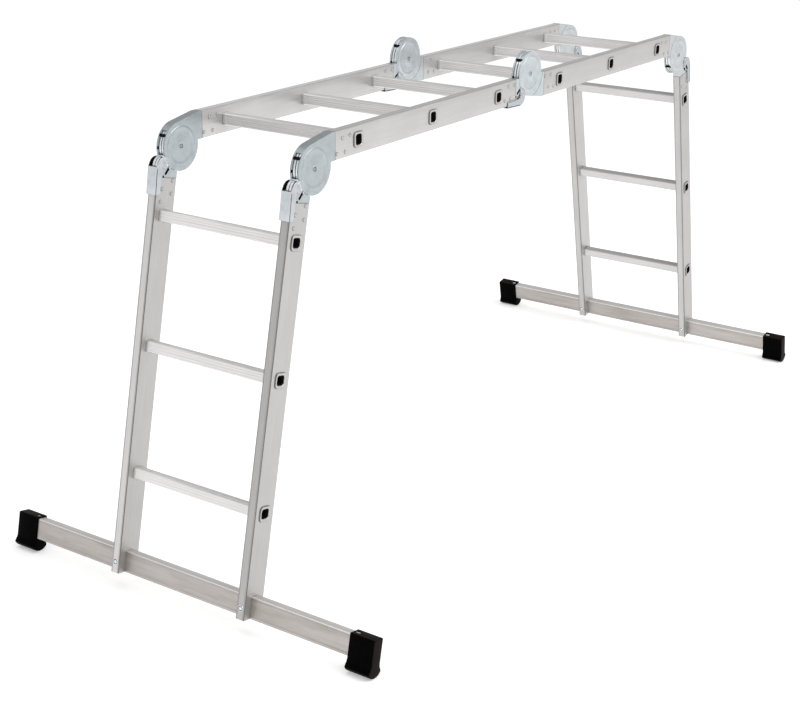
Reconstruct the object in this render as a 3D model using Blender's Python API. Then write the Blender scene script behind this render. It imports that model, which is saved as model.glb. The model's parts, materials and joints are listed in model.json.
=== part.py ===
"""A four-section folding ladder of aluminium, set up as a work platform.

Two sections lie in line as the deck and one section hangs down at each end as a leg. Three pairs of steel
hinge locks join the sections, and each leg ends in a stabiliser bar with a rubber foot on either end.

Frame: +X along the platform towards the far leg, +Y along the rungs, +Z up. The origin is on the ground,
under the middle of the platform. Everything is in metres.

Each section is drawn in its own plane coordinates: u runs along the section from a hinge axis, v runs from
the axis across the stile, and y runs along the rungs.
"""

import math

import bmesh
import bpy
from mathutils import Matrix, Vector

# Sections
RUNG_PITCH = 0.280
RUNGS_PER_SECTION = 3
AXIS_TO_RUNG = 0.1475
LEG_LENGTH = 0.933
LEG_LEAN = math.radians(12.2)
OUTER_WIDTH = 0.374

# Stiles: rectangular tube
STILE_DEPTH = 0.059
STILE_THICKNESS = 0.0215
STILE_WALL = 0.0015
STILE_CORNER = 0.0015
TUBE_INNER_CORNER = 0.0005
AXIS_OFFSET = 0.0046

# Rungs: hollow rounded square, flared over the outside of each stile
RUNG_ALONG = 0.0235
RUNG_ACROSS = 0.025
RUNG_WALL = 0.0018
RUNG_CORNER = 0.004
FLARE_LIP = 0.0045
FLARE_THICKNESS = 0.0012

# Clearances
GAP = 0.0003
RUNNING_GAP = 0.00035
SWING_GAP = 0.0006

# Hinge brackets
SHOULDER_RISE = 0.0106
SHOULDER_RUN = 0.058
END_BEYOND_DISC = 0.015
CHEEK_PLATE = 0.0027
CORE_HALF = 0.0045
CORE_PLATE = 0.0034
CORE_INSET = 0.003
CORE_CLEARANCE = 0.0004
HUB_RADIUS = 0.012
BRACKET_WEB = 0.0036
BRACKET_SKIN = 0.0036
TONGUE_TO_RUNG = 0.00575
TONGUE_PLATE = 0.002
TONGUE_CHAMFER = 0.0045
RIM_START = math.radians(134)
RIM_END = math.radians(356.5)
NECK_FROM = math.radians(8)
NECK_TO = math.radians(42)
HEEL_START = 0.022
HEEL_ROUND = 0.008
PIVOT_RADIUS = 0.005
PIVOT_HEAD_RADIUS = 0.0075
PIVOT_HEAD_HEIGHT = 0.0008
PIVOT_SIDES = 12

# Lock pins, which rest just outside the rim of the disc, and the notches in the rim
PIN_RADIUS = 0.0026
PIN_CHAMFER = 0.0006
PIN_SIDES = 8
PIN_BEARING = math.radians(33.5)
PIN_STROKE = 0.0105
NOTCH_HALF_WIDTH = 0.0033
NOTCH_DEPTH = 0.0063
STEP_OPENING = math.radians(150)

# Release levers
LEVER_PIVOT_DROP = 0.0197
LEVER_LOBE = 0.013
LEVER_LOBE_START = math.radians(150)
LEVER_PLATE = 0.0015
LEVER_TOP_AHEAD = 0.002
LEVER_TIP_U = 0.105
LEVER_LIFT_TOP = 0.0074
LEVER_LIFT_TIP = 0.0045
LEVER_FLANGE = 0.0115
TRUNNION_RADIUS = 0.003
TRUNNION_CLEARANCE = 0.00077
TRUNNION_PROUD = 0.0006
FINGER_RADIUS = 0.0015
FINGER_GAP = 0.0003

# Stabiliser bars, feet and bolts
BAR_LENGTH = 0.981
BAR_HEIGHT = 0.048
BAR_DEPTH = 0.023
BAR_WALL = 0.0016
BAR_SETBACK = 0.020
HEEL_BEHIND_BAR = 0.011
FOOT_LENGTH = 0.061
FOOT_WALL = 0.003
FOOT_END = 0.008
FOOT_SOLE_DROP = 0.0313
FOOT_FLARE = 0.0065
SOLE_RADIUS = 0.0252
BOLT_RADIUS = 0.004
BOLT_HEAD_RADIUS = 0.007
BOLT_HEAD_TOP = 0.0056
BOLT_SIDES = 12
BOLT_HEAD_HEIGHT = 0.0015
BOLT_NUT_HEIGHT = 0.005
BOLT_FROM_END = 0.025

# Arcs are drawn with straight edges: wide arcs with short turns, and narrow ones with longer turns
WIDE_ARC = 0.020
WIDE_STEP = math.radians(15)
NARROW_STEP = math.radians(30)
SHARP_EDGE = math.radians(35)

# Sizes that follow from the ones above
SECTION_LENGTH = 2 * AXIS_TO_RUNG + (RUNGS_PER_SECTION - 1) * RUNG_PITCH
STILE_NEAR_EDGE = AXIS_OFFSET
STILE_FAR_EDGE = AXIS_OFFSET + STILE_DEPTH
STILE_MIDDLE = AXIS_OFFSET + STILE_DEPTH / 2
STILE_Y = OUTER_WIDTH / 2 - STILE_THICKNESS / 2
HALF_THICKNESS = STILE_THICKNESS / 2
DISC_RADIUS = STILE_FAR_EDGE - SHOULDER_RISE
CORE_RADIUS = DISC_RADIUS - CORE_INSET
STILE_END = DISC_RADIUS + END_BEYOND_DISC
CORE_CAVITY = CORE_HALF - CORE_PLATE
TONGUE_LENGTH = AXIS_TO_RUNG - RUNG_ALONG / 2 - TONGUE_TO_RUNG - STILE_END
TONGUE_HALF = HALF_THICKNESS - STILE_WALL - GAP
TONGUE_CAVITY = TONGUE_HALF - TONGUE_PLATE
PIN_ORBIT = DISC_RADIUS + RUNNING_GAP + PIN_RADIUS
LEVER_PIVOT_ORBIT = DISC_RADIUS + TRUNNION_RADIUS + TRUNNION_CLEARANCE
LEVER_PIVOT_V = STILE_FAR_EDGE - LEVER_PIVOT_DROP
LEVER_PIVOT = Vector((math.sqrt(LEVER_PIVOT_ORBIT**2 - LEVER_PIVOT_V**2), LEVER_PIVOT_V))
LEVER_INNER = HALF_THICKNESS + RUNNING_GAP
LEVER_OUTER = LEVER_INNER + LEVER_PLATE
BAR_CLEARANCE = GAP
CORNER_OPENING = math.pi / 2 + LEG_LEAN
OPENINGS = (0.0, CORNER_OPENING, STEP_OPENING, math.pi)
SOLE_HALF = BAR_DEPTH / 2 + GAP + FOOT_WALL + FOOT_FLARE


def polar(radius, angle):
    return Vector((radius * math.cos(angle), radius * math.sin(angle)))


def step_of(radius):
    return WIDE_STEP if radius > WIDE_ARC else NARROW_STEP


def arc(centre, radius, start, end):
    """Points on the circle from start to end, both included, at even steps."""
    steps = max(1, round(abs(end - start) / step_of(radius)))
    return [Vector(centre) + polar(radius, start + (end - start) * i / steps) for i in range(steps + 1)]


def outer_arc(centre, radius, start, end):
    """Points round the circle from start to end whose edges touch it from outside."""
    steps = max(1, round(abs(end - start) / step_of(radius)))
    step = (end - start) / steps
    reach = radius / math.cos(step / 2)
    middle = [Vector(centre) + polar(reach, start + step * (i + 0.5)) for i in range(steps)]
    return [Vector(centre) + polar(radius, start)] + middle + [Vector(centre) + polar(radius, end)]


def circle(centre, radius):
    return arc(centre, radius, 0, 2 * math.pi)[:-1]


def round_hole(centre, radius):
    """A ring whose edges touch the circle from outside."""
    return outer_arc(centre, radius, 0, 2 * math.pi)[1:-1]


def rounded_rectangle(half_u, half_v, corner):
    """A rectangle round the origin, anticlockwise, whose corners are cut off."""
    points = []
    for sign_u, sign_v, start in ((1, 1, 0), (-1, 1, 90), (-1, -1, 180), (1, -1, 270)):
        centre = Vector((sign_u * (half_u - corner), sign_v * (half_v - corner)))
        points += [centre + polar(corner, math.radians(angle)) for angle in (start, start + 90)]
    return points


def clear_scene():
    for thing in list(bpy.data.objects):
        bpy.data.objects.remove(thing, do_unlink=True)


def material(name, colour, roughness, metallic):
    made = bpy.data.materials.new(name)
    made.use_nodes = True
    shader = made.node_tree.nodes["Principled BSDF"]
    shader.inputs["Base Color"].default_value = (*colour, 1)
    shader.inputs["Roughness"].default_value = roughness
    shader.inputs["Metallic"].default_value = metallic
    return made


def mesh_from(bm, name):
    bmesh.ops.remove_doubles(bm, verts=bm.verts, dist=1e-7)
    bmesh.ops.recalc_face_normals(bm, faces=bm.faces)
    mesh = bpy.data.meshes.new(name)
    bm.to_mesh(mesh)
    bm.free()
    return mesh


def prism(bm, outline, low, high):
    """A closed solid from an outline in u and v, between two values of y."""
    front = [bm.verts.new((p[0], low, p[1])) for p in outline]
    back = [bm.verts.new((p[0], high, p[1])) for p in outline]
    bm.faces.new(front)
    bm.faces.new(list(reversed(back)))
    for i in range(len(outline)):
        j = (i + 1) % len(outline)
        bm.faces.new((front[j], front[i], back[i], back[j]))


def prism_mesh(name, outline, low, high):
    bm = bmesh.new()
    prism(bm, outline, low, high)
    return mesh_from(bm, name)


def loft_mesh(name, loops, ring=False):
    """Joins loops of as many points each. A ring's last loop joins its first, or else the ends are capped."""
    bm = bmesh.new()
    rows = [[bm.verts.new(p) for p in loop] for loop in loops]
    pairs = list(zip(rows, rows[1:]))
    if ring:
        pairs.append((rows[-1], rows[0]))
    else:
        bm.faces.new(rows[0])
        bm.faces.new(rows[-1])
    for first, second in pairs:
        for i in range(len(first)):
            j = (i + 1) % len(first)
            bm.faces.new((first[i], first[j], second[j], second[i]))
    return mesh_from(bm, name)


def annulus_mesh(name, inner, outer, half):
    """A ring-shaped prism about y = 0, between two loops in u and v with as many points each."""
    loops = [
        [(p[0], -half, p[1]) for p in inner],
        [(p[0], -half, p[1]) for p in outer],
        [(p[0], half, p[1]) for p in outer],
        [(p[0], half, p[1]) for p in inner],
    ]
    return loft_mesh(name, loops, ring=True)


def guide(name, mesh):
    """A cutter or another helper that isn't a part."""
    thing = bpy.data.objects.new(name, mesh)
    bpy.context.scene.collection.objects.link(thing)
    thing.hide_render = True
    thing.display_type = "WIRE"
    return thing


def boolean(thing, other, operation):
    modifier = thing.modifiers.new(operation.lower(), "BOOLEAN")
    modifier.operation = operation
    modifier.solver = "EXACT"
    modifier.object = other


def shaped_mesh(name, mesh, cuts=(), joins=()):
    """The mesh after it is joined to some helpers and cut by others."""
    blank = guide(name + "_blank", mesh)
    for i, other in enumerate(joins):
        boolean(blank, guide(f"{name}_join_{i}", other), "UNION")
    for i, other in enumerate(cuts):
        boolean(blank, guide(f"{name}_cut_{i}", other), "DIFFERENCE")
    bpy.context.view_layer.update()
    graph = bpy.context.evaluated_depsgraph_get()
    made = bpy.data.meshes.new_from_object(blank.evaluated_get(graph))
    made.name = name
    made.materials.clear()
    for helper in [m.object for m in blank.modifiers] + [blank]:
        bpy.data.objects.remove(helper, do_unlink=True)
    return made


class Section:
    """A place for pieces drawn in u, y and v: where its hinge axis is, and which way u and v point."""

    def __init__(self, name, origin, u, v, parent=None):
        self.u = Vector(u).normalized()
        self.v = Vector(v).normalized()
        self.origin = Vector(origin)
        self.across = self.v.cross(self.u)
        self.turn = Matrix((self.u, self.across, self.v)).transposed()
        self.empty = bpy.data.objects.new(name, None)
        bpy.context.scene.collection.objects.link(self.empty)
        self.empty.empty_display_size = 0.05
        self.place(self.empty, self.origin, parent)

    def place(self, thing, where, parent):
        matrix = Matrix.Translation(where) @ self.turn.to_4x4()
        if parent:
            thing.parent = parent
            bpy.context.view_layer.update()
            thing.matrix_world = matrix
        else:
            thing.matrix_world = matrix

    def add(self, name, mesh, look, y=0.0, u=0.0, v=0.0):
        """Puts a piece with its own origin at u and v of this section, and at y of the whole ladder."""
        thing = bpy.data.objects.new(name, mesh.copy())
        thing.data.name = name
        bpy.context.scene.collection.objects.link(thing)
        thing.data.materials.append(look)
        where = self.origin + self.u * u + self.v * v
        where.y = y
        self.place(thing, where, self.empty)
        thing.data.shade_smooth()
        thing.data.set_sharp_from_angle(angle=SHARP_EDGE)
        return thing


def disc_outline():
    """The hinge disc, its shoulder and the full-thickness end of a disc bracket."""
    lower = math.asin(STILE_NEAR_EDGE / DISC_RADIUS)
    corner = Vector((SHOULDER_RUN, STILE_FAR_EDGE))
    tangent = math.atan2(corner.y, corner.x) + math.acos(DISC_RADIUS / corner.length)
    rim = arc((0, 0), DISC_RADIUS, tangent, 2 * math.pi + lower)
    end = [Vector((STILE_END - GAP, STILE_NEAR_EDGE)), Vector((STILE_END - GAP, STILE_FAR_EDGE))]
    return rim + end + [corner]


def tongue_outline(start):
    half = STILE_DEPTH / 2 - STILE_WALL - GAP
    low, high = STILE_MIDDLE - half, STILE_MIDDLE + half
    end = STILE_END + TONGUE_LENGTH
    cut = TONGUE_CHAMFER
    return [
        Vector((start, low)), Vector((end - cut, low)), Vector((end, low + cut)),
        Vector((end, high - cut)), Vector((end - cut, high)), Vector((start, high)),
    ]


def capsule(start, end, radius):
    """The outline of a slot that a round of this radius fits in, from one place to another."""
    bearing = math.atan2(end.y - start.y, end.x - start.x)
    right, left = bearing - math.pi / 2, bearing + math.pi / 2
    return outer_arc(end, radius, right, left) + outer_arc(start, radius, left, right + 2 * math.pi)


def disc_bracket_mesh():
    radius = CORE_RADIUS + CORE_CLEARANCE
    through = 2 * STILE_THICKNESS
    outside = 2 * DISC_RADIUS
    slot = arc((0, 0), outside, RIM_START, RIM_END)
    slot += outer_arc((0, 0), radius, RIM_END - 2 * math.pi, RIM_START)
    web = radius + BRACKET_WEB
    low, high = STILE_NEAR_EDGE + BRACKET_SKIN, STILE_FAR_EDGE - BRACKET_SKIN
    start, end = math.asin(low / web), math.asin(min(1, (high - BRACKET_SKIN) / web))
    hollow = [Vector((STILE_END + 2 * TONGUE_LENGTH, high)), Vector((web * math.cos(end), high))]
    hollow += list(reversed(arc((0, 0), web, start, end)))
    hollow += [Vector((STILE_END + 2 * TONGUE_LENGTH, low))]
    cuts = [
        prism_mesh("core_slot", slot, -HALF_THICKNESS + CHEEK_PLATE, HALF_THICKNESS - CHEEK_PLATE),
        prism_mesh("bracket_hollow", hollow, -TONGUE_CAVITY, TONGUE_CAVITY),
        prism_mesh("pivot_hole", round_hole((0, 0), PIVOT_RADIUS + RUNNING_GAP), -through, through),
    ]
    for i, opening in enumerate(OPENINGS):
        angle = -(opening + PIN_BEARING)
        bottom = DISC_RADIUS - NOTCH_DEPTH + NOTCH_HALF_WIDTH
        notch = capsule(polar(bottom, angle), polar(outside, angle), NOTCH_HALF_WIDTH)
        cuts.append(prism_mesh(f"notch_{i}", notch, -through, through))
    blank = prism_mesh("disc_bracket", disc_outline(), -HALF_THICKNESS, HALF_THICKNESS)
    tongue = prism_mesh("tongue", tongue_outline(STILE_END - BRACKET_SKIN), -TONGUE_HALF, TONGUE_HALF)
    return shaped_mesh("disc_bracket", blank, cuts, [tongue])


def lock_body_outline():
    """The full-thickness end of a lock bracket, which starts just clear of the other bracket's disc."""
    inner = DISC_RADIUS + SWING_GAP
    start, end = math.asin(STILE_NEAR_EDGE / inner), math.acos(HEEL_START / inner)
    outline = list(reversed(outer_arc((0, 0), inner, start, end)))
    outline += [Vector((STILE_END - GAP, STILE_NEAR_EDGE)), Vector((STILE_END - GAP, STILE_FAR_EDGE))]
    heel = (HEEL_START + HEEL_ROUND, STILE_FAR_EDGE - HEEL_ROUND)
    return outline + arc(heel, HEEL_ROUND, math.pi / 2, math.pi)


def core_outline():
    """The inner disc of a lock bracket, with the neck that joins it to the rest."""
    neck = arc((0, 0), DISC_RADIUS + SWING_GAP + BRACKET_WEB, NECK_FROM, NECK_TO)
    return neck + arc((0, 0), CORE_RADIUS, NECK_TO, NECK_FROM + 2 * math.pi)


def lock_bracket_mesh():
    through = 2 * STILE_THICKNESS
    wall = STILE_END - 2 * BRACKET_WEB
    hub = circle((0, 0), HUB_RADIUS)
    outer = []
    for point in hub:
        reach = 2 * DISC_RADIUS
        if point.x > 0:
            reach = min(reach, wall * HUB_RADIUS / point.x)
        outer.append(point.normalized() * reach)
    tail = STILE_END + 2 * TONGUE_LENGTH
    low, high = STILE_NEAR_EDGE + BRACKET_SKIN, STILE_FAR_EDGE - BRACKET_SKIN
    tail_outline = [
        Vector((wall + BRACKET_WEB, low)), Vector((tail, low)),
        Vector((tail, high)), Vector((wall + BRACKET_WEB, high)),
    ]
    cuts = [
        annulus_mesh("core_cavity", hub, outer, CORE_CAVITY),
        prism_mesh("tail_cavity", tail_outline, -TONGUE_CAVITY, TONGUE_CAVITY),
        prism_mesh("pivot_hole", round_hole((0, 0), PIVOT_RADIUS + RUNNING_GAP), -through, through),
        prism_mesh("pin_slot", capsule(pin_at(0), pin_at(1), PIN_RADIUS + RUNNING_GAP), -through, through),
    ]
    reach = LEVER_OUTER + TRUNNION_PROUD
    trunnion = circle(LEVER_PIVOT, TRUNNION_RADIUS)
    joins = [
        prism_mesh("core", core_outline(), -CORE_HALF, CORE_HALF),
        prism_mesh("tongue", tongue_outline(STILE_END - BRACKET_SKIN), -TONGUE_HALF, TONGUE_HALF),
        prism_mesh("trunnion_one", trunnion, HALF_THICKNESS - CHEEK_PLATE / 2, reach),
        prism_mesh("trunnion_two", trunnion, -reach, -HALF_THICKNESS + CHEEK_PLATE / 2),
    ]
    body = prism_mesh("lock_bracket", lock_body_outline(), -HALF_THICKNESS, HALF_THICKNESS)
    return shaped_mesh("lock_bracket", body, cuts, joins)


def pin_at(share):
    """Where the lock pin is when the lever has turned by this share of its swing."""
    return polar(PIN_ORBIT + PIN_STROKE * share, PIN_BEARING)


def turned_mesh(name, profile, sides):
    """A turned solid about y, from (y, radius) pairs along it."""
    loops = []
    for y, radius in profile:
        ring = [polar(radius, 2 * math.pi * i / sides) for i in range(sides)]
        loops.append([(p.x, y, p.y) for p in ring])
    return loft_mesh(name, loops)


def pivot_rivet_mesh():
    inner = HALF_THICKNESS + GAP
    outer = inner + PIVOT_HEAD_HEIGHT
    edge = PIVOT_HEAD_RADIUS - PIVOT_HEAD_HEIGHT
    half = [(inner, PIVOT_RADIUS), (inner, PIVOT_HEAD_RADIUS), (outer, edge)]
    return turned_mesh("pivot_rivet", [(-y, r) for y, r in reversed(half)] + half, PIVOT_SIDES)


def lock_pin_mesh():
    half = [(LEVER_OUTER - PIN_CHAMFER, PIN_RADIUS), (LEVER_OUTER, PIN_RADIUS - PIN_CHAMFER)]
    return turned_mesh("lock_pin", [(-y, r) for y, r in reversed(half)] + half, PIN_SIDES)


def release_lever_mesh():
    """A folded channel over the stile, drawn about its own pivot, with a finger behind the lock pin."""
    top_u = LEVER_PIVOT.x + LEVER_TOP_AHEAD
    top_v = STILE_FAR_EDGE + LEVER_LIFT_TOP
    tip_v = STILE_FAR_EDGE + LEVER_LIFT_TIP
    edge_v = STILE_FAR_EDGE - LEVER_FLANGE
    meet = math.asin((edge_v - LEVER_PIVOT.y) / LEVER_LOBE)
    behind = PIN_RADIUS + FINGER_GAP + FINGER_RADIUS
    finger = pin_at(0) - polar(behind, PIN_BEARING)
    bearing = math.atan2(finger.y - LEVER_PIVOT.y, finger.x - LEVER_PIVOT.x)
    spread = math.asin(FINGER_RADIUS / LEVER_LOBE)
    outline = [Vector((LEVER_TIP_U, edge_v)), Vector((LEVER_TIP_U, tip_v)), Vector((top_u, top_v))]
    outline += arc(LEVER_PIVOT, LEVER_LOBE, LEVER_LOBE_START, bearing - spread + 2 * math.pi)
    outline += arc(finger, FINGER_RADIUS, bearing - math.pi / 2, bearing + math.pi / 2)
    outline += arc(LEVER_PIVOT, LEVER_LOBE, bearing + spread, meet)
    outline = [p - LEVER_PIVOT for p in outline]
    under = LEVER_PLATE
    beyond = 2 * LEVER_TIP_U
    inside = [
        (beyond, tip_v - under), (top_u, top_v - under), (top_u, beyond),
        (-beyond, beyond), (-beyond, -beyond), (beyond, -beyond),
    ]
    inside = [Vector(p) - LEVER_PIVOT for p in inside]
    cuts = [
        prism_mesh("lever_inside", inside, -LEVER_INNER, LEVER_INNER),
        prism_mesh("lever_hole", round_hole((0, 0), TRUNNION_RADIUS + RUNNING_GAP), -beyond, beyond),
    ]
    blank = prism_mesh("lever", outline, -LEVER_OUTER, LEVER_OUTER)
    return shaped_mesh("release_lever", blank, cuts)


def rung_loop(half_along, half_across, corner, y):
    return [(p.x, y, p.y) for p in rounded_rectangle(half_along, half_across, corner)]


def rung_mesh():
    """A hollow rung that passes through both stiles, with a flared lip over each outer face."""
    along, across = RUNG_ALONG / 2, RUNG_ACROSS / 2
    face = OUTER_WIDTH / 2 + GAP
    tip = face + FLARE_THICKNESS
    lip = FLARE_LIP
    bevel = FLARE_THICKNESS
    half = [
        (along, across, RUNG_CORNER, face),
        (along + lip, across + lip, RUNG_CORNER + lip, face),
        (along + lip - bevel, across + lip - bevel, RUNG_CORNER + lip - bevel, tip),
        (along - RUNG_WALL, across - RUNG_WALL, RUNG_CORNER - RUNG_WALL, tip),
    ]
    loops = [rung_loop(*size) for size in half]
    loops += [rung_loop(a, b, corner, -y) for a, b, corner, y in reversed(half)]
    return loft_mesh("rung", loops, ring=True)


def stile_mesh(length, rungs, notch=None):
    """A stile tube about its own middle plane, from u = 0, with a hole through both walls for each rung."""
    half_t, half_d = STILE_THICKNESS / 2, STILE_DEPTH / 2
    section = rounded_rectangle(half_t, half_d, STILE_CORNER)
    inner = rounded_rectangle(half_t - STILE_WALL, half_d - STILE_WALL, TUBE_INNER_CORNER)
    loops = [[(u, p.x, p.y) for p in shape] for u, shape in ((0, section), (length, section))]
    loops += [[(u, p.x, p.y) for p in shape] for u, shape in ((length, inner), (0, inner))]
    tube = loft_mesh("stile", loops, ring=True)
    cuts = []
    shape = rounded_rectangle(RUNG_ALONG / 2 + GAP, RUNG_ACROSS / 2 + GAP, RUNG_CORNER + GAP)
    for i, u in enumerate(rungs):
        hole = [p + Vector((u, 0)) for p in shape]
        cuts.append(prism_mesh(f"rung_hole_{i}", hole, -STILE_THICKNESS, STILE_THICKNESS))
    if notch:
        cuts.append(prism_mesh("bar_notch", notch, -STILE_THICKNESS, STILE_THICKNESS))
        hole = round_hole((0, 0), BOLT_RADIUS + GAP)
        loops = [[(length - BOLT_FROM_END + p.x, p.y, v) for p in hole] for v in (-STILE_DEPTH, STILE_DEPTH)]
        cuts.append(loft_mesh("bolt_hole", loops))
    return shaped_mesh("stile", tube, cuts)


def leg_notch(strip_side, length):
    """The outline cut from a leg's lower end. strip_side is +1 where the strip left standing is at +v."""
    back = 2 * STILE_DEPTH
    bar_front = strip_side * (STILE_DEPTH / 2 - BAR_SETBACK + BAR_CLEARANCE)
    bar_back = bar_front - strip_side * (BAR_DEPTH + 2 * BAR_CLEARANCE)
    top = length - BAR_HEIGHT - BAR_CLEARANCE
    heel = top + HEEL_BEHIND_BAR
    end = length + BAR_HEIGHT
    outline = [(top, bar_front), (end, bar_front), (end, -strip_side * back), (heel, -strip_side * back)]
    return [Vector(p) for p in outline + [(heel, bar_back), (top, bar_back)]]


def bar_mesh():
    """A stabiliser bar: an open tube along y about its own middle, with a hole for each bolt."""
    half = BAR_LENGTH / 2
    shape = rounded_rectangle(BAR_HEIGHT / 2, BAR_DEPTH / 2, STILE_CORNER)
    inner = rounded_rectangle(BAR_HEIGHT / 2 - BAR_WALL, BAR_DEPTH / 2 - BAR_WALL, TUBE_INNER_CORNER)
    loops = [[(p.x, y, p.y) for p in shape] for y in (-half, half)]
    loops += [[(p.x, y, p.y) for p in inner] for y in (half, -half)]
    tube = loft_mesh("bar", loops, ring=True)
    cuts = []
    for side in (-1, 1):
        hole = round_hole((0, 0), BOLT_RADIUS + GAP)
        u = BAR_HEIGHT / 2 - BOLT_FROM_END
        loops = [[(u + p.x, side * STILE_Y + p.y, v) for p in hole] for v in (-BAR_DEPTH, BAR_DEPTH)]
        cuts.append(loft_mesh(f"bolt_hole_{side}", loops))
    return shaped_mesh("bar", tube, cuts)


def bolt_mesh():
    """A foot bolt along v, from its head outside the stile's strip to its nut behind the bar."""
    nut = -BAR_SETBACK - BAR_DEPTH - BAR_CLEARANCE - GAP
    profile = [
        (GAP + BOLT_HEAD_HEIGHT, BOLT_HEAD_TOP),
        (GAP, BOLT_HEAD_RADIUS),
        (GAP, BOLT_RADIUS),
        (nut, BOLT_RADIUS),
        (nut, BOLT_HEAD_RADIUS),
        (nut - BOLT_NUT_HEIGHT, BOLT_HEAD_RADIUS),
    ]
    loops = []
    for v, radius in profile:
        ring = [polar(radius, 2 * math.pi * i / BOLT_SIDES) for i in range(BOLT_SIDES)]
        loops.append([(p.x, p.y, v) for p in ring])
    return loft_mesh("bolt", loops)


def foot_outline():
    """The side view of a rubber foot about the bar's middle: a block flared to a rocking sole."""
    top = -BAR_HEIGHT / 2 - FOOT_WALL - GAP
    waist = BAR_HEIGHT / 2 + FOOT_WALL / 2
    half = BAR_DEPTH / 2 + FOOT_WALL + GAP
    sole = BAR_HEIGHT / 2 + FOOT_SOLE_DROP
    reach = math.asin(SOLE_HALF / SOLE_RADIUS)
    centre = (sole - SOLE_RADIUS, 0)
    bottom = arc(centre, SOLE_RADIUS, reach, -reach)
    return [Vector((top, half)), Vector((waist, half)), *bottom, Vector((waist, -half)), Vector((top, -half))]


def foot_mesh():
    """A rubber foot that a bar's end slides into: y runs outwards from the foot's inner face."""
    body = prism_mesh("foot", foot_outline(), 0, FOOT_LENGTH)
    socket = rounded_rectangle(BAR_HEIGHT / 2 + GAP, BAR_DEPTH / 2 + GAP, STILE_CORNER)
    pocket = prism_mesh("foot_pocket", socket, -FOOT_LENGTH, FOOT_LENGTH - FOOT_END)
    return shaped_mesh("foot", body, [pocket])


def add_hinge(name, disc_side, lock_side, looks):
    """Both hinge locks of a joint. disc_side and lock_side are its two sections, drawn from its axis."""
    disc, lock, rivet, pin, lever = (looks["meshes"][k] for k in ("disc", "lock", "rivet", "pin", "lever"))
    steel = looks["steel"]
    at_pin = polar(PIN_ORBIT, PIN_BEARING)
    for side, y in (("left", STILE_Y), ("right", -STILE_Y)):
        disc_side.add(f"{name}_disc_bracket_{side}", disc, steel, y)
        lock_side.add(f"{name}_lock_bracket_{side}", lock, steel, y)
        disc_side.add(f"{name}_pivot_rivet_{side}", rivet, looks["pin"], y)
        lock_side.add(f"{name}_lock_pin_{side}", pin, looks["pin"], y, at_pin.x, at_pin.y)
        lock_side.add(f"{name}_release_lever_{side}", lever, steel, y, LEVER_PIVOT.x, LEVER_PIVOT.y)


def add_section(name, section, stile, start, looks):
    """Two stiles and the rungs between them, for a section drawn from one of its hinge axes."""
    for side, y in (("left", STILE_Y), ("right", -STILE_Y)):
        section.add(f"{name}_stile_{side}", stile, looks["aluminium"], y, start, STILE_MIDDLE)
    rung = looks["meshes"]["rung"]
    for i in range(RUNGS_PER_SECTION):
        u = AXIS_TO_RUNG + i * RUNG_PITCH
        section.add(f"{name}_rung_{i + 1}", rung, looks["rung"], 0, u, STILE_MIDDLE)


def bar_middle(strip_side):
    """The v of the middle of a leg's bar. strip_side is +1 where the strip in front is on the +v side."""
    return STILE_MIDDLE + strip_side * (STILE_DEPTH / 2 - BAR_SETBACK - BAR_DEPTH / 2)


def add_stabiliser(name, leg, strip_side, looks):
    """A bar across a leg's foot, with its bolts and rubber feet."""
    meshes = looks["meshes"]
    middle = bar_middle(strip_side)
    height = LEG_LENGTH - BAR_HEIGHT / 2
    edge = STILE_MIDDLE + strip_side * STILE_DEPTH / 2
    low = LEG_LENGTH - BOLT_FROM_END
    leg.add(f"{name}_stabiliser_bar", meshes["bar"], looks["aluminium"], 0, height, middle)
    for side, sign in (("left", 1), ("right", -1)):
        inner = sign * (BAR_LENGTH / 2 + GAP + FOOT_END - FOOT_LENGTH)
        foot = leg.add(f"{name}_foot_{side}", meshes["foot"], looks["rubber"], inner, height, middle)
        if leg.across.y * sign < 0:
            half_turn(foot)
        bolt = leg.add(f"{name}_foot_bolt_{side}", meshes["bolt"], looks["pin"], sign * STILE_Y, low, edge)
        if strip_side < 0:
            half_turn(bolt)


def half_turn(thing):
    """Turns a piece half round its own u, so that its y and its v point the other way."""
    thing.matrix_world = thing.matrix_world @ Matrix.Rotation(math.pi, 4, "X")


def sole_centre(strip_side):
    """The middle of a foot's rocking sole, in its leg's u and v."""
    return Vector((LEG_LENGTH + FOOT_SOLE_DROP - SOLE_RADIUS, bar_middle(strip_side)))


def far_lean(near_side, far_side):
    """The lean that puts the far feet on the ground with the near ones."""
    near, far = sole_centre(near_side), sole_centre(far_side)
    depth = near.x * math.cos(LEG_LEAN) - near.y * math.sin(LEG_LEAN)
    return math.acos(depth / far.length) - math.atan2(far.y, far.x)


def settle(roots):
    """Moves the ladder until its feet are on the ground and its overall box is centred over the origin."""
    bpy.context.view_layer.update()
    pieces = [thing for thing in bpy.context.scene.objects if thing.type == "MESH"]
    points = [thing.matrix_world @ vertex.co for thing in pieces for vertex in thing.data.vertices]
    middle = (min(p.x for p in points) + max(p.x for p in points)) / 2
    for root in roots:
        root.empty.location -= Vector((middle, 0, min(p.z for p in points)))
    bpy.context.view_layer.update()


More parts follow.
